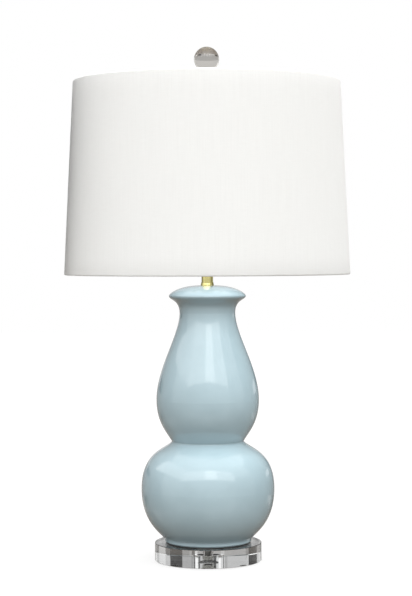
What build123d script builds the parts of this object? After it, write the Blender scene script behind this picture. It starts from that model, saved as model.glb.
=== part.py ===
from build123d import *
import os

# Table lamp: a glazed double gourd body on a clear disc base, a short brass neck with a
# switched socket and a harp, and a hardback drum shade held down by a crystal ball finial.
# Millimetres, +Z up, origin on the table under the lamp's axis. The front faces -Y, and the
# cord leaves at the back, +Y. Heights are stacked from the table up.

# ---- clearances ----
sliding_gap = 0.15  # round pieces that are pushed into or over each other
running_gap = 0.05  # a shaft that turns in its hole
thread_gap = 0.3  # between screwed pieces, whose threads are left plain
rest_gap = 0.1  # between a turning piece and the face that it stands on
pipe_gap = 0.3  # holes that the threaded pipe passes through

# ---- clear base ----
bumper_radius = 5.0
bumper_height = 1.6
bumper_inset = 12.0  # from the rim to the bumper's centre
bumper_count = 4
base_radius = 76.0
base_height = 25.4
base_bevel = 0.5
counterbore_radius = 15.0
counterbore_depth = 11.0
gasket_height = 1.2
gasket_width = 7.0

# ---- gourd ----
foot_radius = 61.7
foot_width = 9.0
foot_height = 7.0
foot_recess = 4.0
foot_shelf_radius = 65.5
foot_shelf_rise = 1.0
foot_flare_out = 3.0  # how far the curve handle above the shelf reaches out
foot_flare_up = 5.0  # and up
foot_round = 1.5
lower_bulb_radius = 94.7
lower_bulb_height = 75.2  # of its widest ring above the foot
lower_bulb_under = 46.5  # length of the curve handle below the widest ring
lower_bulb_over = 53.6  # and of the one above it
waist_radius = 51.0
waist_step = 67.6  # from the lower bulb's widest ring up to the waist
waist_round = 2.0
waist_flare_below = 8.2
waist_rise_below = 11.3
waist_flare_above = 7.0
waist_rise_above = 12.5
upper_bulb_radius = 73.0
upper_bulb_step = 59.4  # from the waist up to the widest ring
upper_bulb_under = 33.1
upper_bulb_over = 44.7
throat_radius = 39.6
throat_step = 123.1  # from that ring up to the throat
throat_under = 30.4
throat_over = 19.3
lip_radius = 54.7
lip_step = 24.2  # from the throat up to the lip
lip_under = 6.0
lip_over = 4.5
dome_step = 14.9  # from the lip up to the dome's flat top
dome_flat_radius = 12.0
dome_shoulder = 26.0  # length of the curve handle along the dome's flat top
wall_thickness = 5.5
floor_thickness = 6.0
roof_thickness = 7.0
inner_floor_place = 0.2  # share of the under-belly curve where the hollow's floor begins to rise
floor_hole_radius = 15.0
bush_flange_width = 4.0
bush_collar_height = 3.0

# ---- cord outlet at the back of the lower bulb ----
outlet_place = 0.42  # share of the under-belly curve, from the foot up
grommet_bore_radius = 3.6
grommet_barrel_radius = 5.6
grommet_flange_radius = 8.0
grommet_flange_height = 2.0
grommet_inner_flange = 1.2
grommet_barb = 0.6  # how far the inner flange stands out from the barrel

# ---- threaded pipe and its clamping hardware ----
pipe_radius = 5.0
pipe_bore_radius = 3.3
pipe_recess = 1.4  # the pipe's end stops this far above the base's underside
pipe_in_cap = 7.0
pipe_slot_width = 6.0
pipe_slot_height = 22.0
washer_radius = 11.0
washer_height = 1.6
lock_washer_radius = 8.6
lock_washer_height = 1.0
lock_washer_split = 1.6
nut_across_flats = 14.3
nut_height = 5.0
nut_chamfer = 1.0

# ---- brass neck ----
collar_radius = 9.4
collar_top_radius = 8.75
collar_height = 4.4
collar_land = 0.9  # straight rim at the foot of the flare
collar_floor = 1.5
neck_radius = 8.2
neck_wall = 1.0
neck_length = 31.2

# ---- harp ----
saddle_thickness = 1.5
saddle_width = 8.0
saddle_boss_radius = 10.0
saddle_flat = 18.0  # half length of the level middle
saddle_rise = 7.0  # height that the sloping arms gain
harp_leg_x = 35.0
ear_height = 16.0
ear_pin_length = 10.0
ear_pin_width = 3.4
harp_wire_radius = 1.9
harp_height = 241.3  # from the saddle to the seat that the shade stands on
harp_leg_length = 46.0
harp_belly_x = 60.0
harp_belly_start = 104.0  # heights above the foot of the legs
harp_belly_end = 166.0
harp_top_x = 28.0
harp_bend_radii = (55.0, 60.0, 70.0, 40.0)
harp_boss_radius = 8.0
harp_boss_height = 4.6
ferrule_wall = 1.0
ferrule_length = 14.0
ferrule_bore_radius = 2.7
stud_radius = 3.05
stud_length = 9.8
stud_chamfer = 0.75
stud_flange_radius = 9.5
stud_flange_height = 1.6
stud_head_radius = 5.0
stud_head_height = 1.5

# ---- socket ----
cap_hub_radius = 7.4
cap_hub_height = 8.0
cap_cup_height = 12.0
cap_shoulder = 5.0
sheet_wall = 0.6
shell_radius = 16.0
shell_length = 47.0
shell_in_cap = 8.0
shell_bead = 0.8
liner_wall = 0.5
liner_length = 40.0
socket_body_radius = 14.2
socket_body_height = 19.0
socket_body_chamfer = 0.6
key_height_over_cap = 5.5
key_hole_radius = 4.0
key_shaft_radius = 1.6
key_shaft_depth = 7.0  # how far the shaft reaches into the body
key_reach = 6.0  # from the shell to the knob
knob_radius = 4.8
knob_length = 13.0
knob_bore_depth = 7.8
knob_chamfer = 1.0
knob_flutes = 10
knob_flute_radius = 0.8
knob_flute_depth = 0.5
screw_shell_bore = 13.3
screw_shell_wall = 0.4
screw_shell_height = 25.0
contact_radius = 4.0
contact_height = 2.0
terminal_radius = 2.6
terminal_height = 2.2
terminal_offset = 9.0
terminal_slot_width = 0.7
terminal_slot_depth = 0.6
set_screw_radius = 1.4
set_screw_length = 4.0
set_screw_slot_width = 0.5
set_screw_slot_depth = 0.5

# ---- bulb ----
bulb_radius = 30.0
bulb_length = 108.0
bulb_belly_height = 77.0
bulb_neck_gap = 0.2  # cement between the glass and its screw cap
bulb_neck_rise = 4.0  # straight neck above the cap
bulb_neck_over = 22.0  # length of the curve handle above the neck
bulb_belly_under = 21.0  # and of the one below the widest ring
circle_handle = 0.552  # of a quarter circle, as a share of its radius
bulb_cap_radius = 12.9
bulb_cap_height = 22.5
bulb_cap_wall = 0.4
bulb_wall = 1.0
bulb_tip_radius = 4.6
bulb_tip_height = 2.4
bulb_insulator_height = 3.2
bulb_insulator_lip = 0.5  # glass round the tip

# ---- shade ----
shade_top_radius = 189.2
shade_bottom_radius = 202.8
shade_height = 273.6
shade_drop = 12.2  # from the top rim down to the spider's washer
cover_thickness = 0.8
liner_thickness = 0.5
laminate_gap = 0.2
ring_wire_radius = 1.2
hem_length = 8.0
hem_notch_width = 6.0
spider_wire_radius = 1.5
spider_arm_count = 3
spider_arm_bend = 6.0
spider_arm_angle = 30.0  # the first arm, from +X
spider_washer_radius = 15.0
spider_washer_height = 1.2
spider_hole_radius = 5.5
spider_weld_length = 4.0  # how far an arm lies on the washer

# ---- finial ----
finial_ball_radius = 17.85
finial_ball_rise = 43.6  # from the washer to the ball's centre
finial_skirt_radius = 8.0
finial_skirt_height = 2.5
finial_barrel_radius = 6.4
finial_barrel_height = 10.5
finial_waist_radius = 3.6
finial_waist_height = 17.0
finial_cup_radius = 8.5
finial_seat_gap = 0.05
insert_wall = 1.0
insert_length = 9.0

# ---- stack of heights ----
base_bottom = bumper_height
base_top = base_bottom + base_height
gourd_foot = base_top + gasket_height
waist_height = lower_bulb_height + waist_step  # this height and the next ones are above the gourd's foot
upper_bulb_height = waist_height + upper_bulb_step
throat_height = upper_bulb_height + throat_step
lip_height = throat_height + lip_step
dome_height = lip_height + dome_step
dome_top = gourd_foot + dome_height
neck_bottom = dome_top + collar_floor
saddle_bottom = neck_bottom + neck_length
saddle_top = saddle_bottom + saddle_thickness
ear_shoulder = saddle_top + ear_height
shade_seat = saddle_top + harp_height
stud_flange_bottom = shade_seat - stud_flange_height
boss_top = stud_flange_bottom - rest_gap
boss_bottom = boss_top - harp_boss_height
spider_top = shade_seat + spider_washer_height
shade_top = spider_top + shade_drop
shade_bottom = shade_top - shade_height
cap_top = saddle_top + cap_hub_height + cap_cup_height
socket_floor = saddle_top + cap_hub_height + sheet_wall
socket_body_top = socket_floor + socket_body_height
contact_top = socket_body_top + contact_height
bulb_bottom = contact_top + rest_gap
finial_bottom = spider_top + rest_gap
ball_centre = spider_top + finial_ball_rise


# ---- helpers ----
def turned(*points):
    """A solid of revolution about Z from (radius, height) points of a straight-sided outline."""
    return revolve(Plane.XZ * make_face(Polyline(*points, close=True)), Axis.Z)


def turned_edges(*edges):
    """A solid of revolution about Z from edges that close an outline."""
    return revolve(Plane.XZ * make_face(list(edges)), Axis.Z)


def tube(inner, outer, bottom, top):
    """A plain tube or washer about Z."""
    return turned((inner, bottom), (outer, bottom), (outer, top), (inner, top))


def rod(radius, bottom, top, x=0.0, y=0.0):
    """A plain cylinder along Z."""
    return Pos(x, y, bottom) * extrude(Circle(radius), top - bottom)


def across(solid, height):
    """Lay a solid made along Z over so that it runs from the axis towards the front, -Y."""
    return Pos(0, 0, height) * Rot(90, 0, 0) * solid


# ---- base ----
def base_bumpers():
    ring = base_radius - bumper_inset
    foot = rod(bumper_radius, 0, bumper_height)
    foot = chamfer(foot.edges().group_by(Axis.Z)[0], bumper_height / 3)
    return [Rot(0, 0, 45 + 360 / bumper_count * i) * Pos(ring, 0, 0) * foot for i in range(bumper_count)]


def acrylic_base():
    disc = rod(base_radius, base_bottom, base_top)
    disc -= rod(pipe_radius + pipe_gap, base_bottom, base_top)
    disc -= rod(counterbore_radius, base_bottom, base_bottom + counterbore_depth)
    rims = disc.edges().filter_by(GeomType.CIRCLE).filter_by(lambda e: abs(e.radius - base_radius) < 0.01)
    return chamfer(rims, base_bevel)


def foot_gasket():
    outer = foot_radius - foot_round
    return tube(outer - gasket_width, outer, base_top, gourd_foot)


# ---- gourd ----
def gourd_curves(inset):
    """The bulbs' side curves from the foot to the lip, moved inwards by inset."""

    def at(radius, height):
        return (radius - inset, gourd_foot + height)

    shelf = foot_height + foot_shelf_rise
    under_lower = Bezier(
        at(foot_shelf_radius, shelf),
        at(foot_shelf_radius + foot_flare_out, shelf + foot_flare_up),
        at(lower_bulb_radius, lower_bulb_height - lower_bulb_under),
        at(lower_bulb_radius, lower_bulb_height),
    )
    over_lower = Bezier(
        at(lower_bulb_radius, lower_bulb_height),
        at(lower_bulb_radius, lower_bulb_height + lower_bulb_over),
        at(waist_radius + waist_flare_below, waist_height - waist_rise_below),
        at(waist_radius, waist_height),
    )
    under_upper = Bezier(
        at(waist_radius, waist_height),
        at(waist_radius + waist_flare_above, waist_height + waist_rise_above),
        at(upper_bulb_radius, upper_bulb_height - upper_bulb_under),
        at(upper_bulb_radius, upper_bulb_height),
    )
    over_upper = Bezier(
        at(upper_bulb_radius, upper_bulb_height),
        at(upper_bulb_radius, upper_bulb_height + upper_bulb_over),
        at(throat_radius, throat_height - throat_under),
        at(throat_radius, throat_height),
    )
    under_lip = Bezier(
        at(throat_radius, throat_height),
        at(throat_radius, throat_height + throat_over),
        at(lip_radius, lip_height - lip_under),
        at(lip_radius, lip_height),
    )
    return under_lower, over_lower, under_upper, over_upper, under_lip


def gourd_outside():
    """The glazed outer form, solid to the axis."""
    curves = gourd_curves(0)
    shelf_end = curves[0] @ 0
    lip_end = curves[-1] @ 1
    foot = Polyline(
        (0, gourd_foot),
        (foot_radius - foot_round, gourd_foot),
        (foot_radius, gourd_foot + foot_round),
        (foot_radius, gourd_foot + foot_height),
        (shelf_end.X, shelf_end.Y),
    )
    dome = Bezier(
        lip_end,
        (lip_radius, lip_end.Y + lip_over),
        (dome_flat_radius + dome_shoulder, dome_top),
        (dome_flat_radius, dome_top),
    )
    crown = Polyline((dome_flat_radius, dome_top), (0, dome_top), (0, gourd_foot))
    outline = make_face([*foot.edges(), *curves, dome, *crown.edges()])
    pinch = outline.vertices().sort_by_distance((waist_radius, gourd_foot + waist_height, 0))[0]
    return revolve(Plane.XZ * fillet(pinch, waist_round), Axis.Z)


def gourd_inside():
    """The hollow that slip casting leaves, from the floor to the roof under the dome."""
    under_lower, *upward, _ = gourd_curves(wall_thickness)
    floor = gourd_foot + foot_recess + floor_thickness
    roof = dome_top - roof_thickness
    under_lower = under_lower.trim(inner_floor_place, 1)
    low = under_lower @ 0
    high = upward[-1] @ 1
    eaves = (high.X, gourd_foot + lip_height)
    bottom = Polyline((0, floor), (low.X - wall_thickness, floor), (low.X, low.Y))
    side = Line((high.X, high.Y), eaves)
    vault = Bezier(eaves, (high.X, roof), (dome_flat_radius, roof))
    crown = Polyline((dome_flat_radius, roof), (0, roof), (0, floor))
    return turned_edges(*bottom.edges(), under_lower, *upward, side, vault, *crown.edges())


def outlet_plane():
    """On the glaze at the back of the lower bulb, with its normal pointing out of the body."""
    curve = gourd_curves(0)[0]
    spot = curve @ outlet_place
    along = curve % outlet_place
    return Plane(origin=(0, spot.X, spot.Y), x_dir=(1, 0, 0), z_dir=(0, along.Y, -along.X))


def gourd_body():
    body = gourd_outside() - gourd_inside()
    recess_radius = foot_radius - foot_width
    body -= rod(recess_radius, gourd_foot, gourd_foot + foot_recess)
    body -= rod(floor_hole_radius, gourd_foot, gourd_foot + foot_recess + floor_thickness)
    body -= rod(pipe_radius + pipe_gap, dome_top - roof_thickness, dome_top)
    hole = extrude(Circle(grommet_barrel_radius + running_gap), 2 * wall_thickness, both=True)
    return body - outlet_plane() * hole


def foot_bush():
    """A moulded bush that centres the pipe in the gourd's floor."""
    bore = pipe_radius + pipe_gap
    barrel = floor_hole_radius - sliding_gap
    flange = floor_hole_radius + bush_flange_width
    flange_top = gourd_foot + foot_recess
    top = flange_top + floor_thickness + bush_collar_height
    return turned(
        (bore, base_top),
        (flange, base_top),
        (flange, flange_top),
        (barrel, flange_top),
        (barrel, top),
        (bore, top),
    )


def cord_grommet():
    barrel_end = -wall_thickness
    inner_end = barrel_end - grommet_inner_flange
    lip = grommet_barrel_radius + grommet_barb
    sleeve = turned(
        (grommet_bore_radius, inner_end),
        (grommet_barrel_radius, inner_end),
        (lip, barrel_end - grommet_barb),
        (lip, barrel_end),
        (grommet_barrel_radius, barrel_end),
        (grommet_barrel_radius, 0),
        (grommet_flange_radius, 0),
        (grommet_flange_radius, grommet_flange_height / 2),
        (grommet_flange_radius - grommet_flange_height / 2, grommet_flange_height),
        (grommet_bore_radius, grommet_flange_height),
    )
    return outlet_plane() * sleeve


# ---- pipe and clamping hardware ----
def lamp_pipe():
    bottom = base_bottom + pipe_recess
    pipe = tube(pipe_bore_radius, pipe_radius, bottom, saddle_top + pipe_in_cap)
    outlet = outlet_plane().origin.Z
    slot = extrude(SlotOverall(pipe_slot_height, pipe_slot_width, rotation=90), 2 * pipe_radius)
    return pipe - Pos(0, 0, outlet) * Rot(-90, 0, 0) * slot


def base_washer():
    top = base_bottom + counterbore_depth
    return tube(pipe_radius + pipe_gap, washer_radius, top - washer_height, top)


def base_lock_washer():
    top = base_bottom + counterbore_depth - washer_height
    ring = tube(pipe_radius + pipe_gap, lock_washer_radius, top - lock_washer_height, top)
    split = Box(lock_washer_radius, lock_washer_split, lock_washer_height)
    middle = (pipe_radius + lock_washer_radius) / 2
    return ring - Pos(middle, 0, top - lock_washer_height / 2) * split


def base_nut():
    top = base_bottom + counterbore_depth - washer_height - lock_washer_height
    hexagon = RegularPolygon(nut_across_flats / 2, 6, major_radius=False)
    nut = Pos(0, 0, top - nut_height) * extrude(hexagon, nut_height)
    corner = nut_across_flats / 3**0.5
    cone = turned(
        (0, top - nut_height),
        (nut_across_flats / 2, top - nut_height),
        (corner, top - nut_height + nut_chamfer),
        (corner, top),
        (0, top),
    )
    return (nut & cone) - rod(pipe_radius + running_gap, top - nut_height, top)


# ---- brass neck ----
def neck_collar():
    bore = pipe_radius + pipe_gap
    socket = neck_radius + running_gap
    top = dome_top + collar_height
    flare = Bezier(
        (collar_radius, dome_top + collar_land),
        (collar_radius, dome_top + collar_height / 2),
        (collar_top_radius, dome_top + collar_height / 2),
        (collar_top_radius, top),
    )
    rest = Polyline(
        (collar_top_radius, top),
        (socket, top),
        (socket, neck_bottom),
        (bore, neck_bottom),
        (bore, dome_top),
        (collar_radius, dome_top),
        (collar_radius, dome_top + collar_land),
    )
    return turned_edges(flare, *rest.edges())


def neck_tube():
    return tube(neck_radius - neck_wall, neck_radius, neck_bottom, saddle_bottom)


# ---- harp ----
def harp_saddle():
    middle = saddle_top - saddle_thickness / 2
    ear_x = harp_leg_x - rest_gap / 2 - saddle_thickness / 2
    pin_top = ear_shoulder + ear_pin_length
    strip_line = FilletPolyline(
        (-ear_x, pin_top),
        (-ear_x, middle + saddle_rise),
        (-saddle_flat, middle),
        (saddle_flat, middle),
        (ear_x, middle + saddle_rise),
        (ear_x, pin_top),
        radius=2 * saddle_thickness,
    )
    strip = extrude(Plane.XZ * trace(strip_line, saddle_thickness), saddle_width / 2, both=True)
    saddle = strip + rod(saddle_boss_radius, saddle_bottom, saddle_top)
    saddle -= rod(pipe_radius + pipe_gap, saddle_bottom, saddle_top)
    side = (saddle_width - ear_pin_width) / 2
    trim = Box(4 * saddle_thickness, side, 2 * ear_pin_length)
    for x in (-ear_x, ear_x):
        for y in (-1, 1):
            saddle -= Pos(x, y * (ear_pin_width + side) / 2, ear_shoulder + ear_pin_length) * trim
    return saddle


def harp_line():
    """The bow's centre line, up one leg, over the top and down the other."""
    foot = ear_shoulder + rest_gap
    top = (boss_top + boss_bottom) / 2
    leg, belly_low, belly_high, crown = harp_bend_radii
    right = (
        (harp_leg_x, foot),
        (harp_leg_x, foot + harp_leg_length),
        (harp_belly_x, foot + harp_belly_start),
        (harp_belly_x, foot + harp_belly_end),
        (harp_top_x, top),
    )
    left = tuple((-x, z) for x, z in reversed(right))
    bends = (leg, belly_low, belly_high, crown, crown, belly_high, belly_low, leg)
    return Plane.XZ * FilletPolyline(*right, *left, radius=bends)


def harp_bow():
    line = harp_line()
    bow = sweep(Plane(origin=line @ 0, z_dir=line % 0) * Circle(harp_wire_radius), line)
    bow += rod(harp_boss_radius, boss_bottom, boss_top)
    bow -= rod(stud_radius + running_gap, boss_bottom, boss_top)
    lap_height = ear_pin_length + 2 * rest_gap
    lap = Box(2 * harp_wire_radius, 4 * harp_wire_radius, lap_height)
    for side in (-1, 1):
        x = side * (harp_leg_x - harp_wire_radius + rest_gap / 2)
        bow -= Pos(x, 0, ear_shoulder + lap_height / 2) * lap
    return bow


def harp_ferrule(side):
    bottom = ear_shoulder + rest_gap
    outer = ferrule_bore_radius + ferrule_wall
    return Pos(side * harp_leg_x, 0, 0) * tube(ferrule_bore_radius, outer, bottom, bottom + ferrule_length)


def harp_stud():
    """The swivelling seat: a flange for the shade, its screw above and its riveted end below."""
    head_top = boss_bottom - rest_gap
    return turned(
        (0, head_top - stud_head_height),
        (stud_head_radius, head_top - stud_head_height),
        (stud_head_radius, head_top),
        (stud_radius, head_top),
        (stud_radius, stud_flange_bottom),
        (stud_flange_radius, stud_flange_bottom),
        (stud_flange_radius, shade_seat),
        (stud_radius, shade_seat),
        (stud_radius, shade_seat + stud_length - stud_chamfer),
        (stud_radius - stud_chamfer, shade_seat + stud_length),
        (0, shade_seat + stud_length),
    )


# ---- socket ----
def socket_cap():
    bore = pipe_radius + running_gap
    outer = shell_radius + sliding_gap + sheet_wall
    hub_top = saddle_top + cap_hub_height
    cup = turned(
        (bore, saddle_top),
        (cap_hub_radius, saddle_top),
        (cap_hub_radius, hub_top - sheet_wall),
        (outer - cap_shoulder / 2, hub_top),
        (outer, hub_top + cap_shoulder / 2),
        (outer, cap_top),
        (outer - sheet_wall, cap_top),
        (outer - sheet_wall, hub_top + cap_shoulder / 2 + sheet_wall),
        (outer - cap_shoulder / 2, hub_top + sheet_wall),
        (bore, hub_top + sheet_wall),
    )
    screw_hole = rod(set_screw_radius + running_gap, 0, 2 * cap_hub_radius)
    return cup - across(screw_hole, saddle_top + cap_hub_height / 2)


def cap_set_screw():
    start = pipe_radius + rest_gap
    screw = rod(set_screw_radius, start, start + set_screw_length)
    slot = Box(2 * set_screw_radius, set_screw_slot_width, 2 * set_screw_slot_depth)
    slot = Pos(0, 0, start + set_screw_length) * slot
    return across(screw - slot, saddle_top + cap_hub_height / 2)


def shell_bottom():
    return cap_top - shell_in_cap


def socket_shell():
    bottom = shell_bottom()
    top = bottom + shell_length
    inner = shell_radius - sheet_wall
    bead_low = cap_top + shell_length / 2
    shell = turned(
        (inner, bottom),
        (shell_radius, bottom),
        (shell_radius, bead_low),
        (shell_radius + shell_bead, bead_low + shell_bead),
        (shell_radius, bead_low + 2 * shell_bead),
        (shell_radius, top - 2 * shell_bead),
        (shell_radius + shell_bead, top - shell_bead),
        (shell_radius, top),
        (inner, top),
    )
    return shell - across(rod(key_hole_radius, 0, 2 * shell_radius), cap_top + key_height_over_cap)


def shell_liner():
    outer = shell_radius - sheet_wall - running_gap
    bottom = shell_bottom() + shell_bead
    liner = tube(outer - liner_wall, outer, bottom, bottom + liner_length)
    return liner - across(rod(key_hole_radius, 0, 2 * shell_radius), cap_top + key_height_over_cap)


def socket_body():
    body = rod(socket_body_radius, socket_floor, socket_body_top)
    body = chamfer(body.edges(), socket_body_chamfer)
    body -= rod(pipe_radius + pipe_gap, socket_floor, saddle_top + pipe_in_cap + pipe_gap)
    key = rod(key_shaft_radius + running_gap, socket_body_radius - key_shaft_depth, socket_body_radius)
    return body - across(key, cap_top + key_height_over_cap)


def screw_shell():
    outer = screw_shell_bore + screw_shell_wall
    return tube(screw_shell_bore, outer, socket_body_top, socket_body_top + screw_shell_height)


def centre_contact():
    dome = rod(contact_radius, socket_body_top, contact_top)
    return fillet(dome.edges().group_by(Axis.Z)[-1], contact_height / 2)


def terminal_screws():
    bottom = socket_body_top
    head = rod(terminal_radius, bottom, bottom + terminal_height)
    slot = Box(2 * terminal_radius, terminal_slot_width, 2 * terminal_slot_depth)
    head -= Pos(0, 0, bottom + terminal_height) * slot
    return [Pos(x, 0, 0) * head for x in (-terminal_offset, terminal_offset)]


def key_reach_end():
    return shell_radius + key_reach


def switch_shaft():
    start = socket_body_radius - key_shaft_depth + rest_gap
    shaft = rod(key_shaft_radius, start, key_reach_end() + knob_bore_depth)
    return across(shaft, cap_top + key_height_over_cap)


def switch_knob():
    start = key_reach_end()
    end = start + knob_length
    knob = turned(
        (key_shaft_radius, start),
        (knob_radius - knob_chamfer, start),
        (knob_radius, start + knob_chamfer),
        (knob_radius, end - knob_chamfer),
        (knob_radius - knob_chamfer, end),
        (0, end),
        (0, start + knob_bore_depth),
        (key_shaft_radius, start + knob_bore_depth),
    )
    flute_x = knob_radius + knob_flute_radius - knob_flute_depth
    flute = rod(knob_flute_radius, start + 2 * knob_chamfer, end, x=flute_x)
    for i in range(knob_flutes):
        knob -= Rot(0, 0, 360 / knob_flutes * i) * flute
    return across(knob, cap_top + key_height_over_cap)


# ---- bulb ----
def bulb_cap():
    bottom = bulb_bottom + bulb_insulator_height
    top = bottom + bulb_cap_height
    return tube(bulb_cap_radius - bulb_cap_wall, bulb_cap_radius, bottom, top)


def bulb_insulator():
    bottom = bulb_bottom + bulb_tip_height / 2
    top = bulb_bottom + bulb_insulator_height
    cone = turned(
        (0, bottom),
        (bulb_tip_radius + bulb_insulator_lip, bottom),
        (bulb_cap_radius, top),
        (0, top),
    )
    return cone - rod(bulb_tip_radius + running_gap, bottom, bulb_bottom + bulb_tip_height)


def bulb_tip():
    tip = rod(bulb_tip_radius, bulb_bottom, bulb_bottom + bulb_tip_height)
    return fillet(tip.edges().group_by(Axis.Z)[0], bulb_tip_height / 3)


def bulb_envelope(inset):
    """The glass's outside, or its inside at that inset, solid to the axis."""
    bottom = bulb_bottom + bulb_insulator_height + inset
    neck_top = bottom + bulb_cap_height + bulb_neck_rise - inset
    belly = bulb_bottom + bulb_belly_height
    top = bulb_bottom + bulb_length - inset
    neck = bulb_cap_radius - bulb_cap_wall - bulb_neck_gap - inset
    wide = bulb_radius - inset
    foot = Polyline((0, top), (0, bottom), (neck, bottom), (neck, neck_top))
    side = Bezier(
        (neck, neck_top), (neck, neck_top + bulb_neck_over), (wide, belly - bulb_belly_under), (wide, belly)
    )
    shoulder = belly + (top - belly) * circle_handle
    crown = Bezier((wide, belly), (wide, shoulder), (wide * circle_handle, top), (0, top))
    return turned_edges(*foot.edges(), side, crown)


def bulb_glass():
    return bulb_envelope(0) - bulb_envelope(bulb_wall)


# ---- shade ----
def shade_radius(height):
    """The cover's outside radius at a height."""
    share = (shade_top - height) / shade_height
    return shade_top_radius + (shade_bottom_radius - shade_top_radius) * share


def hem_points(rim, inwards):
    """The rolled hem at a rim: over the wire ring and back along the inside. Inwards is -1 at the top."""
    pocket = cover_thickness + 2 * ring_wire_radius + 2 * laminate_gap
    end = rim + inwards * hem_length
    lid = rim + inwards * cover_thickness
    return (
        (shade_radius(end) - pocket - cover_thickness, end),
        (shade_radius(end) - pocket, end),
        (shade_radius(lid) - pocket, lid),
        (shade_radius(lid) - cover_thickness, lid),
    ), (shade_radius(rim) - pocket - cover_thickness, rim)


def shade_cover():
    """The fabric skin with both hems, slit where the spider's arms reach the top ring."""
    top_hem, top_corner = hem_points(shade_top, -1)
    bottom_hem, bottom_corner = hem_points(shade_bottom, 1)
    cover = turned(
        (shade_radius(shade_bottom), shade_bottom),
        (shade_radius(shade_top), shade_top),
        top_corner,
        *top_hem,
        *reversed(bottom_hem),
        bottom_corner,
    )
    depth = ring_inset() + ring_wire_radius
    slit = Box(2 * depth, hem_notch_width, hem_length)
    middle = shade_top - cover_thickness - hem_length / 2
    for angle in spider_angles():
        cover -= Rot(0, 0, angle) * Pos(shade_top_radius - ring_inset() - depth, 0, middle) * slit
    return cover


def shade_liner():
    """The stiff white lining, between the two rings."""
    top = shade_top - cover_thickness - 2 * ring_wire_radius - 2 * laminate_gap
    bottom = shade_bottom + cover_thickness + 2 * ring_wire_radius + 2 * laminate_gap
    outer = cover_thickness + laminate_gap
    inner = outer + liner_thickness
    return turned(
        (shade_radius(bottom) - inner, bottom),
        (shade_radius(bottom) - outer, bottom),
        (shade_radius(top) - outer, top),
        (shade_radius(top) - inner, top),
    )


def ring_inset():
    return cover_thickness + laminate_gap + ring_wire_radius


def shade_ring(height):
    centre = shade_radius(height) - ring_inset()
    return Pos(0, 0, height) * Torus(centre, ring_wire_radius)


def top_ring_height():
    return shade_top - ring_inset()


def bottom_ring_height():
    return shade_bottom + ring_inset()


def spider_angles():
    return [spider_arm_angle + 360 / spider_arm_count * i for i in range(spider_arm_count)]


def spider_washer():
    return tube(spider_hole_radius, spider_washer_radius, shade_seat, spider_top)


def spider_arms():
    """Each wire lies on the washer, runs level outwards and turns up beside the top ring."""
    level = spider_top + spider_wire_radius
    ring_radius = shade_radius(top_ring_height()) - ring_inset()
    end = ring_radius - ring_wire_radius - spider_wire_radius
    start = spider_washer_radius - spider_weld_length
    line = Plane.XZ * FilletPolyline(
        (start, level), (end, level), (end, top_ring_height() + ring_wire_radius), radius=spider_arm_bend
    )
    arm = sweep(Plane(origin=line @ 0, z_dir=line % 0) * Circle(spider_wire_radius), line)
    return [Rot(0, 0, angle) * arm for angle in spider_angles()]


# ---- finial ----
def insert_radius():
    return stud_radius + thread_gap + insert_wall


def finial_insert():
    bore = stud_radius + thread_gap
    return tube(bore, insert_radius(), finial_bottom + rest_gap, finial_bottom + insert_length)


def finial_base():
    """Turned brass: a skirt, a barrel round the insert, a slim waist and the ball's cup."""
    barrel_low = finial_bottom + finial_skirt_height + (finial_skirt_radius - finial_barrel_radius)
    barrel_top = finial_bottom + finial_barrel_height
    waist = finial_bottom + finial_waist_height
    cup = ball_centre - (finial_ball_radius**2 - finial_cup_radius**2) ** 0.5
    foot = Polyline(
        (0, cup),
        (0, finial_bottom),
        (finial_skirt_radius, finial_bottom),
        (finial_skirt_radius, finial_bottom + finial_skirt_height),
        (finial_barrel_radius, barrel_low),
        (finial_barrel_radius, barrel_top),
    )
    neck = Bezier(
        (finial_barrel_radius, barrel_top),
        (finial_waist_radius, barrel_top),
        (finial_waist_radius, (barrel_top + waist) / 2),
        (finial_waist_radius, waist),
    )
    flare = Bezier(
        (finial_waist_radius, waist),
        (finial_waist_radius, (waist + cup) / 2),
        (finial_cup_radius, (waist + cup) / 2),
        (finial_cup_radius, cup),
    )
    lid = Line((finial_cup_radius, cup), (0, cup))
    base = turned_edges(*foot.edges(), neck, flare, lid)
    base -= rod(insert_radius() + running_gap, finial_bottom, finial_bottom + insert_length + rest_gap)
    base -= rod(stud_radius + thread_gap, finial_bottom, shade_seat + stud_length + rest_gap)
    return base - Pos(0, 0, ball_centre) * Sphere(finial_ball_radius + finial_seat_gap)


def finial_ball():
    return Pos(0, 0, ball_centre) * Sphere(finial_ball_radius)


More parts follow.
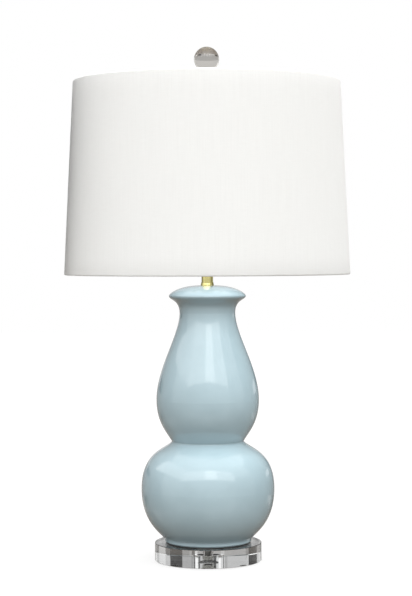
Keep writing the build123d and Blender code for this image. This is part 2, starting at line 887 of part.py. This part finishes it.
pieces = {
    "base_bumpers": base_bumpers(),
    "acrylic_base": acrylic_base(),
    "foot_gasket": foot_gasket(),
    "gourd_body": gourd_body(),
    "foot_bush": foot_bush(),
    "cord_grommet": cord_grommet(),
    "lamp_pipe": lamp_pipe(),
    "base_washer": base_washer(),
    "base_lock_washer": base_lock_washer(),
    "base_nut": base_nut(),
    "neck_collar": neck_collar(),
    "neck_tube": neck_tube(),
    "harp_saddle": harp_saddle(),
    "harp_bow": harp_bow(),
    "harp_ferrule_left": harp_ferrule(-1),
    "harp_ferrule_right": harp_ferrule(1),
    "harp_stud": harp_stud(),
    "socket_cap": socket_cap(),
    "cap_set_screw": cap_set_screw(),
    "socket_shell": socket_shell(),
    "shell_liner": shell_liner(),
    "socket_body": socket_body(),
    "screw_shell": screw_shell(),
    "centre_contact": centre_contact(),
    "terminal_screws": terminal_screws(),
    "switch_shaft": switch_shaft(),
    "switch_knob": switch_knob(),
    "bulb_cap": bulb_cap(),
    "bulb_insulator": bulb_insulator(),
    "bulb_tip": bulb_tip(),
    "bulb_glass": bulb_glass(),
    "shade_cover": shade_cover(),
    "shade_liner": shade_liner(),
    "shade_top_ring": shade_ring(top_ring_height()),
    "shade_bottom_ring": shade_ring(bottom_ring_height()),
    "spider_washer": spider_washer(),
    "spider_arms": spider_arms(),
    "finial_insert": finial_insert(),
    "finial_base": finial_base(),
    "finial_ball": finial_ball(),
}

os.makedirs("parts", exist_ok=True)
for name, shape in pieces.items():
    solids = shape if isinstance(shape, list) else shape.solids()
    solid = Compound(children=list(solids)) if len(solids) > 1 else solids[0]
    export_step(solid, f"parts/{name}.step")
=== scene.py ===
"""The looks of a table lamp: a glazed double gourd body on a clear disc base, a brass neck, a
linen drum shade and a crystal ball finial. Metres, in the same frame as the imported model."""

import math

import bmesh
import bpy
from mathutils import Matrix, Vector


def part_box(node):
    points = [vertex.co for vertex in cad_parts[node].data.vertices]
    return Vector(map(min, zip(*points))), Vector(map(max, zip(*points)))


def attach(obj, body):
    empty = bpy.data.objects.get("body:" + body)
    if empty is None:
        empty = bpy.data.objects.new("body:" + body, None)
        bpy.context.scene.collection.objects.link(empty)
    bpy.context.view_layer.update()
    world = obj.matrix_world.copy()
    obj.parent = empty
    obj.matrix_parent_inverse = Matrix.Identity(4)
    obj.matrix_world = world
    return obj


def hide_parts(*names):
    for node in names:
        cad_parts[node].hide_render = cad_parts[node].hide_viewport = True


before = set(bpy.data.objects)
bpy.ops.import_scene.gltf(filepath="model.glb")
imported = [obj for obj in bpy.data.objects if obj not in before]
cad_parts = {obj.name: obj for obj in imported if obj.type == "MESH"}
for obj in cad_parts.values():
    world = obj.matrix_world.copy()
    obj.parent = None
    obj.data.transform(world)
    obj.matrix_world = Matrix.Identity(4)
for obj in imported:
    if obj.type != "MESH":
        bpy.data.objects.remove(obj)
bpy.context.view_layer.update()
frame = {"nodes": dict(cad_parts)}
nodes = frame["nodes"]


# ---- shader maths ----
class Value:
    """A shader socket that takes part in Python arithmetic, which adds its Math nodes."""

    def __init__(self, nodes, socket):
        self.nodes = nodes
        self.socket = socket

    def maths(self, operation, *others):
        return self.nodes.maths(operation, self, *others)

    def __add__(self, other):
        return self.maths("ADD", other)

    def __sub__(self, other):
        return self.maths("SUBTRACT", other)

    def __rsub__(self, other):
        return self.nodes.maths("SUBTRACT", other, self)

    def __mul__(self, other):
        return self.maths("MULTIPLY", other)

    def __truediv__(self, other):
        return self.maths("DIVIDE", other)

    def __rtruediv__(self, other):
        return self.nodes.maths("DIVIDE", other, self)

    def __pow__(self, other):
        return self.maths("POWER", other)

    __radd__ = __add__
    __rmul__ = __mul__


class Nodes:
    """The shader nodes of a material or of the world."""

    def __init__(self, tree):
        self.tree = tree

    def node(self, kind, settings, sockets, output=0):
        """A new node: its settings first, then the values or links of its sockets, which go by
        name or number."""
        made = self.tree.nodes.new(kind)
        for key, value in settings.items():
            setattr(made, key, value)
        for key, value in sockets.items():
            if isinstance(value, Value):
                self.tree.links.new(value.socket, made.inputs[key])
            else:
                made.inputs[key].default_value = value
        return Value(self, made.outputs[output])

    def maths(self, operation, *values):
        return self.node("ShaderNodeMath", {"operation": operation}, dict(enumerate(values)))

    def place(self):
        """Object coordinates, which a point keeps in every pose."""
        return self.node("ShaderNodeTexCoord", {}, {}, "Object")

    def scaled(self, vector, scale):
        return self.node("ShaderNodeMapping", {}, {"Vector": vector, "Scale": scale})

    def parts(self, vector):
        """The X, Y and Z of a vector."""
        return [self.node("ShaderNodeSeparateXYZ", {}, {0: vector}, axis) for axis in "XYZ"]

    def noise(self, vector, scale=1.0, detail=2.0, roughness=0.5):
        sockets = {"Vector": vector, "Scale": scale, "Detail": detail, "Roughness": roughness}
        return self.node("ShaderNodeTexNoise", {}, sockets)

    def spread(self, value, low, high, to_low=0.0, to_high=1.0):
        """A range of a value onto another range, smoothly and clamped."""
        sockets = dict(enumerate((value, low, high, to_low, to_high)))
        return self.node("ShaderNodeMapRange", {"interpolation_type": "SMOOTHSTEP"}, sockets)

    def blend(self, share, first, second):
        """A colour between two."""
        return self.node("ShaderNodeMix", {"data_type": "RGBA"}, {0: share, 6: first, 7: second}, 2)

    def bump(self, height, strength, distance, **below):
        sockets = {"Height": height, "Strength": strength, "Distance": distance}
        return self.node("ShaderNodeBump", {}, sockets | below)

    def mix_shaders(self, share, first, second):
        return self.node("ShaderNodeMixShader", {}, {0: share, 1: first, 2: second})

    def surface(self, output, shader):
        """Make a shader the one that the tree's output node shows."""
        self.tree.links.new(shader.socket, self.tree.nodes[output].inputs["Surface"])


class Finish(Nodes):
    """A material whose shader has uniform settings and is fed by nodes."""

    def __init__(self, name, **settings):
        self.material = bpy.data.materials.new(name)
        self.material.use_nodes = True
        super().__init__(self.material.node_tree)
        self.shader = self.tree.nodes["Principled BSDF"]
        for socket, value in settings.items():
            self.shader.inputs[socket.replace("_", " ")].default_value = value

    def feed(self, **sockets):
        """Link values into the shader, and give the material."""
        for socket, value in sockets.items():
            self.tree.links.new(value.socket, self.shader.inputs[socket.replace("_", " ")])
        return self.material


def tint(code):
    """A hex colour code as linear red, green, blue and alpha."""
    channels = [int(code[i : i + 2], 16) / 255 for i in (0, 2, 4)]
    linear = [c / 12.92 if c <= 0.04045 else ((c + 0.055) / 1.055) ** 2.4 for c in channels]
    return (*linear, 1.0)


WHITE = (1.0, 1.0, 1.0, 1.0)
BLACK = (0.0, 0.0, 0.0, 1.0)

# ---- finishes ----
WAIST_HEIGHT = 0.171
# the middle height of the painted shade under the lip
UNDER_LIP_HEIGHT = 0.370
RIPPLE_STRETCH = (1, 1, 0.55)  # ripples are longer along the axis


def glaze_finish():
    """Pale blue glaze with slow ripples, a little deeper where it pools in the waist, and darkened
    round the underside of the lip as painted shade."""
    made = Finish(
        "glaze", Roughness=0.14, IOR=1.5, Coat_Weight=1.0, Coat_Roughness=0.03, Coat_IOR=1.5
    )
    spot = made.place()
    cloudy = made.noise(spot, scale=14.0, detail=3.0, roughness=0.55)
    fine = made.noise(spot, scale=160.0)
    body = made.blend(made.spread(cloudy, low=0.35, high=0.65), tint("A7BEC6"), tint("ADC4CC"))
    _, _, height = made.parts(spot)
    off_waist = (height - WAIST_HEIGHT).maths("ABSOLUTE")
    off_lip = (height - UNDER_LIP_HEIGHT).maths("ABSOLUTE")
    in_waist = made.spread(off_waist, low=0.0004, high=0.003, to_low=0.35, to_high=0.0)
    # painted shade: a darker band round the underside of the lip
    painted_shade_under_lip = made.spread(off_lip, low=0.003, high=0.011, to_low=0.3, to_high=0.0)
    # one darker tint serves both the glaze pooled in the waist and the painted shade under the lip
    colour = made.blend(in_waist + painted_shade_under_lip, body, tint("87A0A9"))
    stretched = made.scaled(spot, RIPPLE_STRETCH)
    ripple = made.noise(stretched, scale=20.0, detail=1.0, roughness=0.4)
    wavy = made.bump(ripple, strength=0.35, distance=0.0012)
    normal = made.bump(fine, strength=0.05, distance=0.0002, Normal=wavy)
    return made.feed(Base_Color=colour, Normal=normal)


def clear_finish(name, colour, index, smudge_scale):
    """Clear cast acrylic or crystal with polished faces and faint smudges."""
    made = Finish(name, Base_Color=tint(colour), IOR=index, Transmission_Weight=1.0)
    smudge = made.noise(made.place(), smudge_scale, detail=4.0, roughness=0.6)
    return made.feed(Roughness=made.spread(smudge, low=0.55, high=0.8, to_high=0.012))


TURNED_RINGS = (8, 8, 3000)  # long round the axis and fine along it


def brass_finish(name, roughness, light, dark):
    """Turned and lacquered brass: fine rings round the axis and slow tarnish."""
    made = Finish(name, Metallic=1.0)
    spot = made.place()
    tarnish = made.noise(spot, scale=60.0, detail=4.0, roughness=0.6)
    rings = made.noise(made.scaled(spot, TURNED_RINGS), roughness=0.6)
    colour = made.blend(made.spread(tarnish, low=0.35, high=0.7), tint(light), tint(dark))
    rough = made.spread(tarnish, low=0.3, high=0.7, to_low=roughness, to_high=roughness + 0.08)
    normal = made.bump(rings, strength=0.08, distance=0.00003)
    return made.feed(Base_Color=colour, Roughness=rough, Normal=normal)


PIPE_THREAD_PITCH = 0.00094
LAMP_THREAD_PITCH = 0.003629
THREAD_DEPTH = 0.28  # of the pitch
DULL_PLATE = "8F8E8A"


def plated_finish(name, colour, roughness, pitch=0.0):
    """Zinc or nickel plate, with the ridges of a thread where the piece is threaded."""
    made = Finish(name, Metallic=1.0)
    spot = made.place()
    grain = made.noise(spot, scale=420.0, detail=3.0, roughness=0.6)
    normal = made.bump(grain, strength=0.08, distance=0.0001)
    if pitch:
        x, y, z = made.parts(spot)
        turn = y.maths("ARCTAN2", x) * (1 / (2 * math.pi))
        wave = (z * (1 / pitch) - turn) * (2 * math.pi)
        ridge = wave.maths("SINE")
        normal = made.bump(ridge, strength=1.0, distance=pitch * THREAD_DEPTH, Normal=normal)
    shade = made.blend(made.spread(grain, low=0.3, high=0.7), tint(colour), tint(DULL_PLATE))
    rough = made.spread(grain, low=0.3, high=0.7, to_low=roughness, to_high=roughness + 0.12)
    return made.feed(Base_Color=shade, Roughness=rough, Normal=normal)


CLOUD_SHADE = 0.86  # how dark a moulding's darkest clouds are, of its plain colour


def moulded_finish(name, colour, roughness=0.35, **more):
    """A moulded plastic or rubber with a fine tool texture."""
    made = Finish(name, **more)
    spot = made.place()
    speck = made.noise(spot, scale=500.0, detail=3.0, roughness=0.6)
    cloud = made.noise(spot, scale=40.0)
    plain = tint(colour)
    deeper = (*[c * CLOUD_SHADE for c in plain[:3]], 1.0)
    shade = made.blend(made.spread(cloud, low=0.3, high=0.7), plain, deeper)
    rough = made.spread(
        speck, low=0.3, high=0.7, to_low=roughness - 0.05, to_high=roughness + 0.1
    )
    normal = made.bump(speck, strength=0.15, distance=0.0002)
    return made.feed(Base_Color=shade, Roughness=rough, Normal=normal)


CARD_FIBRES = (900, 900, 160)  # per metre, longer along the axis


def card_finish():
    """Rolled brown card with short fibres."""
    made = Finish("card_liner", Roughness=0.9)
    fibre = made.noise(made.scaled(made.place(), CARD_FIBRES), detail=4.0, roughness=0.7)
    shade = made.blend(made.spread(fibre, low=0.3, high=0.7), tint("6B5238"), tint("8B6F4E"))
    return made.feed(Base_Color=shade, Normal=made.bump(fibre, strength=0.3, distance=0.0003))


YARN_PITCH = 0.00055
UPRIGHT_SLUBS = (700, 14, 1)  # per metre, across and up the cut
LEVEL_SLUBS = (60, 800, 1)
UPRIGHT_SHARE = 0.6
WEAVE_RISE = 0.4  # how high the weave stands, of a slub's height


def linen_finish():
    """Off-white plain weave with slubs both ways, on the cloth's own map of its flat cut, in
    metres."""
    made = Finish(
        "linen",
        Roughness=0.92,
        Subsurface_Weight=0.6,
        Subsurface_Radius=(1, 1, 1),
        Subsurface_Scale=0.003,
    )
    flat = made.node("ShaderNodeUVMap", {"uv_map": "flat_cut"}, {})
    across, up, _ = made.parts(flat)
    warp = (across * (math.pi / YARN_PITCH)).maths("SINE")
    weft = (up * (math.pi / YARN_PITCH)).maths("SINE")
    weave = (warp * weft).maths("ABSOLUTE")
    upright = made.noise(made.scaled(flat, UPRIGHT_SLUBS), detail=3.0, roughness=0.6)
    level = made.noise(made.scaled(flat, LEVEL_SLUBS), detail=3.0, roughness=0.6)
    slubs = upright * UPRIGHT_SHARE + level * (1 - UPRIGHT_SHARE)
    colour = made.blend(made.spread(slubs, low=0.3, high=0.66), tint("F1F2EF"), tint("F5F6F3"))
    normal = made.bump(weave * WEAVE_RISE + slubs, strength=0.3, distance=0.0004)
    return made.feed(Base_Color=colour, Normal=normal)


def lining_finish():
    """The smooth white styrene that the cloth is laminated to."""
    made = Finish("lining", Roughness=0.42)
    cloud = made.noise(made.place(), scale=24.0, detail=3.0)
    shade = made.blend(made.spread(cloud, low=0.3, high=0.7), tint("F1EFEA"), tint("E9E7E0"))
    return made.feed(Base_Color=shade, Normal=made.bump(cloud, strength=0.02, distance=0.0004))


def bulb_finish():
    """Soft white coated glass."""
    made = Finish("bulb_white", Coat_Weight=0.4, Coat_Roughness=0.1)
    cloud = made.noise(made.place(), scale=70.0)
    shade = made.blend(made.spread(cloud, low=0.3, high=0.7), tint("F0F0EC"), tint("E8E8E3"))
    rough = made.spread(cloud, low=0.3, high=0.7, to_low=0.28, to_high=0.36)
    return made.feed(Base_Color=shade, Roughness=rough)


def dress(material, *names):
    """Give carried-over nodes a finish."""
    for name in names:
        for slot in nodes[name].material_slots:
            slot.material = material


SHADE_FRAME = ["shade_top_ring", "shade_bottom_ring", "spider_washer", "spider_arms"]


def dress_nodes():
    glaze = glaze_finish()
    acrylic = clear_finish("acrylic", "FBFCFC", index=1.49, smudge_scale=55.0)
    crystal = clear_finish("crystal", "F6F3EE", index=1.52, smudge_scale=90.0)
    brass = brass_finish("brass", 0.05, light="F0E7A4", dark="E6DC92")
    sheet_brass = brass_finish("brass_sheet", 0.28, light="D2BB72", dark="AE9650")
    zinc = plated_finish("zinc", "A9A8A2", 0.3)
    zinc_thread = plated_finish("zinc_thread", "A9A8A2", 0.3, PIPE_THREAD_PITCH)
    nickel_thread = plated_finish("nickel_thread", "C2C0BA", 0.25, LAMP_THREAD_PITCH)
    bumper = moulded_finish("clear_bumper", "DDE0E0", 0.3, Transmission_Weight=0.7)
    enamel = moulded_finish("ivory_enamel", "D8D2BE", 0.3, Coat_Weight=0.5)
    key = moulded_finish("brown_key", "211C18", 0.25, Coat_Weight=0.6)

    dress(glaze, "gourd_body")
    dress(acrylic, "acrylic_base")
    dress(crystal, "finial_ball")
    dress(bumper, "base_bumpers")
    dress(moulded_finish("foam_gasket", "2B2B2B", 0.8), "foot_gasket")
    dress(moulded_finish("white_nylon", "DDDCD6"), "foot_bush", "cord_grommet")
    dress(brass, "neck_collar", "neck_tube", "finial_base")
    dress(sheet_brass, "harp_saddle", "harp_bow", "harp_ferrule_left", "harp_ferrule_right")
    dress(sheet_brass, "socket_cap", "socket_shell", "centre_contact", "terminal_screws")
    dress(zinc, "base_washer", "base_lock_washer", "base_nut", "cap_set_screw")
    dress(zinc, "switch_shaft", "bulb_tip")
    dress(zinc_thread, "lamp_pipe", "harp_stud", "finial_insert")
    dress(nickel_thread, "screw_shell", "bulb_cap")
    dress(card_finish(), "shell_liner")
    dress(moulded_finish("black_phenolic", "1B1A19", 0.3), "socket_body")
    dress(key, "switch_knob")
    dress(moulded_finish("black_glass", "101014", 0.15), "bulb_insulator")
    dress(bulb_finish(), "bulb_glass")
    dress(lining_finish(), "shade_liner")
    dress(enamel, *SHADE_FRAME)


# ---- shade cloth ----
SHADE_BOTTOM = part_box("shade_cover")[0].z
SHADE_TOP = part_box("shade_cover")[1].z
BOTTOM_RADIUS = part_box("shade_cover")[1].x
TOP_RADIUS = 0.1892
CLOTH = 0.0008  # thickness
LAMINATE_GAP = 0.0002
RING_WIRE_RADIUS = (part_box("shade_top_ring")[1].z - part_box("shade_top_ring")[0].z) / 2
HEM_LENGTH = 0.008
HEM_SLIT_WIDTH = 0.006
SPIDER_ANGLES = [math.radians(angle) for angle in (30, 150, 270)]
LAP_WIDTH = 0.012
LAP_TUCK = 0.03  # the stretch of cloth that rises on to the lap
LAP_ANGLE = math.pi / 2  # the lap is at the back
CONE_LEAN = math.atan((BOTTOM_RADIUS - TOP_RADIUS) / (SHADE_TOP - SHADE_BOTTOM))
HEM_STEPS = 8
SIDE_STEPS = 12
ROUND_STEPS = 216
CUT_TOLERANCE = 1e-6


def cone_radius(height):
    """The cloth's outside radius at a height."""
    return BOTTOM_RADIUS - (height - SHADE_BOTTOM) * math.tan(CONE_LEAN)


def hem_line(rim, inwards):
    """The cloth's middle line over the ring wire at a rim, from outside to the hem's raw edge."""
    bend = RING_WIRE_RADIUS + LAMINATE_GAP + CLOTH / 2
    wire_height = rim + inwards * (CLOTH + LAMINATE_GAP + RING_WIRE_RADIUS)
    wire_radius = cone_radius(wire_height) - CLOTH - LAMINATE_GAP - RING_WIRE_RADIUS
    points = []
    for step in range(HEM_STEPS + 1):
        turn = math.pi * step / HEM_STEPS
        height = wire_height - inwards * bend * math.sin(turn)
        points.append((wire_radius + bend * math.cos(turn), height))
    raw_edge = rim + inwards * HEM_LENGTH
    leaf = wire_radius - bend + cone_radius(raw_edge) - cone_radius(wire_height)
    return points + [(leaf, raw_edge)]


def cloth_line():
    """The cloth's middle line from the lower raw edge round both rings to the upper one."""
    lower = list(reversed(hem_line(SHADE_BOTTOM, 1)))
    upper = hem_line(SHADE_TOP, -1)
    foot, head = Vector(lower[-1]), Vector(upper[0])
    side = [foot.lerp(head, step / SIDE_STEPS) for step in range(1, SIDE_STEPS)]
    return [Vector(point) for point in (*lower, *side, *upper)]


def flat_radii(line):
    """Each point's distance from the cone's tip once the cloth is laid flat."""
    lengths = [0.0]
    for here, there in zip(line, line[1:]):
        lengths.append(lengths[-1] + (there - here).length)
    foot = HEM_STEPS + 1
    tip = line[foot].x / math.sin(CONE_LEAN) + lengths[foot]
    return [tip - length for length in lengths]


def cloth_turn():
    """How far the cut reaches round the lamp: once, and the lap."""
    return 2 * math.pi + LAP_WIDTH / BOTTOM_RADIUS


def shade_cloth():
    """The flat cut rolled into a cone, lapped at the back, with both hems turned over the rings."""
    line = cloth_line()
    radii = flat_radii(line)
    made = bmesh.new()
    bmesh.ops.create_grid(made, x_segments=ROUND_STEPS, y_segments=len(line) - 1, size=0.5)
    flat_cut = made.loops.layers.uv.new("flat_cut")
    spots = {}
    for vert in made.verts:
        turn = (vert.co.x + 0.5) * cloth_turn()
        row = round((vert.co.y + 0.5) * (len(line) - 1))
        fan = (turn - cloth_turn() / 2) * math.sin(CONE_LEAN)
        spots[vert.index] = (radii[row] * math.sin(fan), -radii[row] * math.cos(fan))
        roll = Matrix.Rotation(LAP_ANGLE + turn, 3, "Z")
        vert.co = roll @ Vector((line[row].x, 0, line[row].y))
    for face in made.faces:
        face.smooth = True
        for loop in face.loops:
            loop[flat_cut].uv = spots[loop.vert.index]
    made.normal_update()
    lift_lap(made)
    cut_hem_slits(made)
    cloth = new_piece("shade_cloth", made, linen_finish())
    wall = cloth.modifiers.new("thickness", "SOLIDIFY")
    wall.thickness = CLOTH
    wall.offset = 0
    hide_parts("shade_cover")
    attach(cloth, "shade")
    return cloth


def lift_lap(made):
    """Raise the cut's last stretch on to its first, by one thickness of cloth."""
    columns = ROUND_STEPS + 1
    start = cloth_turn() - (LAP_WIDTH + LAP_TUCK) / BOTTOM_RADIUS
    flush = cloth_turn() - LAP_WIDTH / BOTTOM_RADIUS
    for vert in made.verts:
        turn = (vert.index % columns) / ROUND_STEPS * cloth_turn()
        share = min(max((turn - start) / (flush - start), 0), 1)
        eased = share**2 * (3 - 2 * share)
        vert.co += vert.normal * (CLOTH + LAMINATE_GAP) * eased


def cut_hem_slits(made):
    """Open the upper hem's inner leaf where the spider's arms stand against the ring."""
    for angle in SPIDER_ANGLES:
        out = Vector((math.cos(angle), math.sin(angle), 0))
        aside = Vector((-out.y, out.x, 0))
        for side in (-1, 1):
            leaf = [face for face in made.faces if on_leaf(face, out)]
            edges = {edge for face in leaf for edge in face.edges}
            verts = {vert for face in leaf for vert in face.verts}
            bmesh.ops.bisect_plane(
                made,
                geom=[*verts, *edges, *leaf],
                dist=CUT_TOLERANCE,
                plane_co=side * aside * HEM_SLIT_WIDTH / 2,
                plane_no=aside,
            )
        slit = [face for face in made.faces if on_leaf(face, out) and in_slit(face, aside)]
        bmesh.ops.delete(made, geom=slit, context="FACES")


def on_leaf(face, out):
    """Whether a face is part of the upper hem inside the ring, on an arm's side of the lamp."""
    centre = face.calc_center_median()
    near = centre.dot(out) > TOP_RADIUS / 2
    inside = centre.xy.length < TOP_RADIUS - CLOTH - LAMINATE_GAP - RING_WIRE_RADIUS
    return near and inside and centre.z > SHADE_TOP - HEM_LENGTH


def in_slit(face, aside):
    """Whether a face lies between the two cuts of an arm's slit."""
    return abs(face.calc_center_median().dot(aside)) < HEM_SLIT_WIDTH / 2


def flat_size():
    """The cut's width and length, and its area: a sector of a ring."""
    radii = flat_radii(cloth_line())
    outer, inner = radii[0], radii[-1]
    fan = cloth_turn() * math.sin(CONE_LEAN)
    width = 2 * outer * math.sin(fan / 2)
    length = outer - inner * math.cos(fan / 2)
    return (width, length), fan * (outer**2 - inner**2) / 2


# ---- stage ----
def new_piece(name, made, material):
    """Turn a bmesh into an object of the scene."""
    mesh = bpy.data.meshes.new(name)
    made.to_mesh(mesh)
    made.free()
    mesh.materials.append(material)
    piece = bpy.data.objects.new(name, mesh)
    bpy.context.scene.collection.objects.link(piece)
    return piece


def hide_from(piece, *rays):
    """Let some kinds of ray pass through a piece."""
    for ray in rays:
        setattr(piece, f"visible_{ray}", False)


def seen_straight(made):
    """1 for what the camera, gloss and glass see, and 0 for the light that falls on things."""
    rays = ["Is Camera Ray", "Is Glossy Ray", "Is Transmission Ray"]
    camera, gloss, glass = [made.node("ShaderNodeLightPath", {}, {}, ray) for ray in rays]
    return camera + gloss + glass


FLOOR_WHITE = 0.85  # how much of the floor the camera sees as plain white
FLOOR_DROP = 0.0002  # below the lamp's underside
TABLE_DROP = 0.0004
FLOOR_WIDTH = 14
TABLE_WIDTH = 12


def floor_paint():
    """Matt off-white that the camera sees as nearly plain white, but for the lamp's shadow. Its
    back is clear, so that the lamp shows from below."""
    made = Finish("floor", Base_Color=tint("F2F2F0"), Roughness=0.9, Specular_IOR_Level=0.1)
    lit = Value(made, made.shader.outputs[0])
    white = made.node("ShaderNodeEmission", {}, {})
    clear = made.node("ShaderNodeBsdfTransparent", {}, {})
    behind = made.node("ShaderNodeNewGeometry", {}, {}, "Backfacing")
    front = made.mix_shaders(seen_straight(made) * FLOOR_WHITE, lit, white)
    made.surface("Material Output", made.mix_shaders(behind, front, clear))
    return made.material


def table_polish():
    """Polished brown, which the lamp, gloss and glass see in place of the floor."""
    return Finish("table", Base_Color=tint("6F675E"), Roughness=0.05, Coat_Weight=1.0).material


def glow(name, level):
    """Plain white light."""
    return Finish(name, Base_Color=BLACK, Emission_Color=WHITE, Emission_Strength=level).material


def card(name, drop, width, material):
    """A square card that lies flat, a little below the lamp."""
    made = bmesh.new()
    bmesh.ops.create_grid(made, x_segments=1, y_segments=1, size=0.5)
    bmesh.ops.scale(made, vec=(width, width, 1), verts=made.verts)
    bmesh.ops.translate(made, vec=(0, 0, -drop), verts=made.verts)
    piece = new_piece(name, made, material)
    return piece


# Name, who sees it, azimuth, half-width, lower and upper height, light, distance.
BOARDS = [
    ("wall_front", "both", 0, 50, -10, 24, 0.7, 40),
    ("wall_left", "both", -68, 18, -10, 24, 0.8, 40),
    ("wall_right", "both", 68, 18, -10, 24, 0.5, 40),
    ("dark_left", "gloss", -127, 40, -10, 50, 0.32, 42),
    ("dark_right", "gloss", 127, 40, -10, 50, 0.18, 42),
    ("back_to_gloss", "gloss", 180, 14, -10, 50, 0.5, 40),
    ("low_back_to_glass", "glass", 180, 65, -10, 12, 0.37, 40),
    ("high_back_to_glass", "glass", 180, 65, 12, 50, 0.54, 40),
    ("tent_front", "both", 0, 50, 24, 50, 1.9, 40),
    ("tent_left", "both", -85, 35, 24, 50, 1.5, 30),
    ("tent_right", "both", 68, 18, 24, 50, 0.8, 40),
    ("window", "both", 6, 12, 25, 50, 3.0, 39),
    ("white_right_behind", "both", 132.5, 8.5, 7, 13, 0.75, 2.0),
    ("black_right_behind", "both", 155, 6.5, 7, 13, 0.01, 2.0),
    ("beige_right_behind", "both", 164.3, 2.9, 7, 13, 0.36, 2.0),
    ("dark_strip", "both", 170, 1.1, 7, 13, 0.12, 2.0),
    ("white_strip_right", "both", 172, 0.9, 7, 13, 0.9, 2.0),
    ("white_strip_left", "both", 189.6, 1.2, 7, 13, 0.7, 2.0),
    ("pale_left_behind", "both", 202, 9, 7, 13, 0.5, 2.0),
    ("black_left_behind", "both", 224.5, 9.5, 7, 13, 0.02, 2.0),
    ("flag_left", "light", -95, 29, 57.3, 70.9, 0.0, 0.27),
]
PASSING_RAYS = {
    "both": ("camera", "shadow", "diffuse"),
    "gloss": ("camera", "shadow", "diffuse", "transmission"),
    "glass": ("camera", "shadow", "diffuse", "glossy"),
    "light": ("camera", "glossy", "transmission"),
}


def board(name, seen_by, azimuth, half_width, low, high, level, distance):
    """A flat upright card that only gloss, glass or both see, or that only keeps light off. It
    stands at an azimuth from the front towards +X, and reaches a half-width and between two
    heights, all in degrees as seen from the lamp's foot."""
    reach = (half_width, low, high)
    aside, foot, head = [distance * math.tan(math.radians(angle)) for angle in reach]
    made = bmesh.new()
    bmesh.ops.create_grid(made, x_segments=1, y_segments=1, size=0.5)
    bmesh.ops.scale(made, vec=(2 * aside, head - foot, 1), verts=made.verts)
    upright = Matrix.Rotation(math.pi / 2, 3, "X")
    round_lamp = Matrix.Rotation(math.radians(azimuth), 3, "Z")
    bmesh.ops.rotate(made, matrix=upright, verts=made.verts)
    bmesh.ops.translate(made, vec=(0, -distance, (head + foot) / 2), verts=made.verts)
    bmesh.ops.rotate(made, matrix=round_lamp, verts=made.verts)
    piece = new_piece(name, made, glow(name, level))
    hide_from(piece, *PASSING_RAYS[seen_by])


SKY_LOW = 0.54
SKY_RISE = 2.6
SKY_RISE_TO = 0.82  # sine of the height where the light is full
DIM_WAY = math.radians(-125)  # the middle of the dim side, from the front towards +X
DIM_START = 0.34  # cosines of the angles from that middle
DIM_FULL = 0.74
DIM_SHARE = 0.5
BACK_SHARE = 0.2  # how much dimmer the room's sides and back are than its front
NEARLY_ZERO = 1e-6  # keeps the way straight up from dividing by zero


def light_room():
    """White behind the lamp to the eye. The light grows from the horizon up, and is dim behind to
    the left."""
    world = bpy.data.worlds.new("room")
    bpy.context.scene.world = world
    world.use_nodes = True
    made = Nodes(world.node_tree)
    x, y, z = made.parts(made.node("ShaderNodeTexCoord", {}, {}, "Generated"))
    away = (x * x + y * y + NEARLY_ZERO) ** 0.5
    dim = (x * math.sin(DIM_WAY) - y * math.cos(DIM_WAY)) / away
    dimmed = made.spread(dim, low=DIM_START, high=DIM_FULL, to_low=1.0, to_high=DIM_SHARE)
    share = dimmed * (1 - BACK_SHARE - y / away * BACK_SHARE)
    full = SKY_LOW + SKY_RISE
    level = made.spread(z, low=0.0, high=SKY_RISE_TO, to_low=SKY_LOW, to_high=full) * share
    light = made.node("ShaderNodeBackground", {}, {"Color": WHITE, "Strength": level})
    white = made.node("ShaderNodeBackground", {}, {"Color": WHITE})
    made.surface("World Output", made.mix_shaders(seen_straight(made), light, white))


def set_stage():
    floor = card("floor", FLOOR_DROP, FLOOR_WIDTH, floor_paint())
    hide_from(floor, "diffuse", "glossy", "transmission")
    table = card("table", TABLE_DROP, TABLE_WIDTH, table_polish())
    hide_from(table, "camera")
    for row in BOARDS:
        board(*row)
    light_room()


# ---- camera ----
IMAGE_LONG_SIDE = 596  # pixels
FOCAL_PIXELS = 1719.5
SENSOR = 36.0
CAMERA_DISTANCE = 2.444
CAMERA_HEIGHT = 0.4388
CAMERA_PITCH = 1.5025  # degrees down
CAMERA_ROLL = 0.2
AXIS_RIGHT_OF_CENTRE = 1.35  # pixels


def set_camera():
    data = bpy.data.cameras.new("camera")
    data.sensor_width = SENSOR
    data.lens = FOCAL_PIXELS / IMAGE_LONG_SIDE * SENSOR
    camera = bpy.data.objects.new("camera", data)
    aside = AXIS_RIGHT_OF_CENTRE / FOCAL_PIXELS * CAMERA_DISTANCE
    camera.location = (-aside, -CAMERA_DISTANCE, CAMERA_HEIGHT)
    tilt = Matrix.Rotation(math.radians(90 - CAMERA_PITCH), 3, "X")
    roll = Matrix.Rotation(math.radians(-CAMERA_ROLL), 3, "Z")
    camera.rotation_euler = (tilt @ roll).to_euler()
    bpy.context.scene.collection.objects.link(camera)
    bpy.context.scene.camera = camera


def pass_light(*pieces):
    """The shade is thin enough to glow, so it holds no light back from the lamp below it."""
    for piece in pieces:
        hide_from(piece, "shadow", "diffuse", "glossy", "transmission")


def main():
    set_camera()
    cloth = shade_cloth()
    pass_light(cloth, *[nodes[name] for name in (*SHADE_FRAME, "shade_liner")])
    flat, area = flat_size()
    dress_nodes()
    set_stage()
    bpy.context.scene.view_settings.view_transform = "Standard"


main()
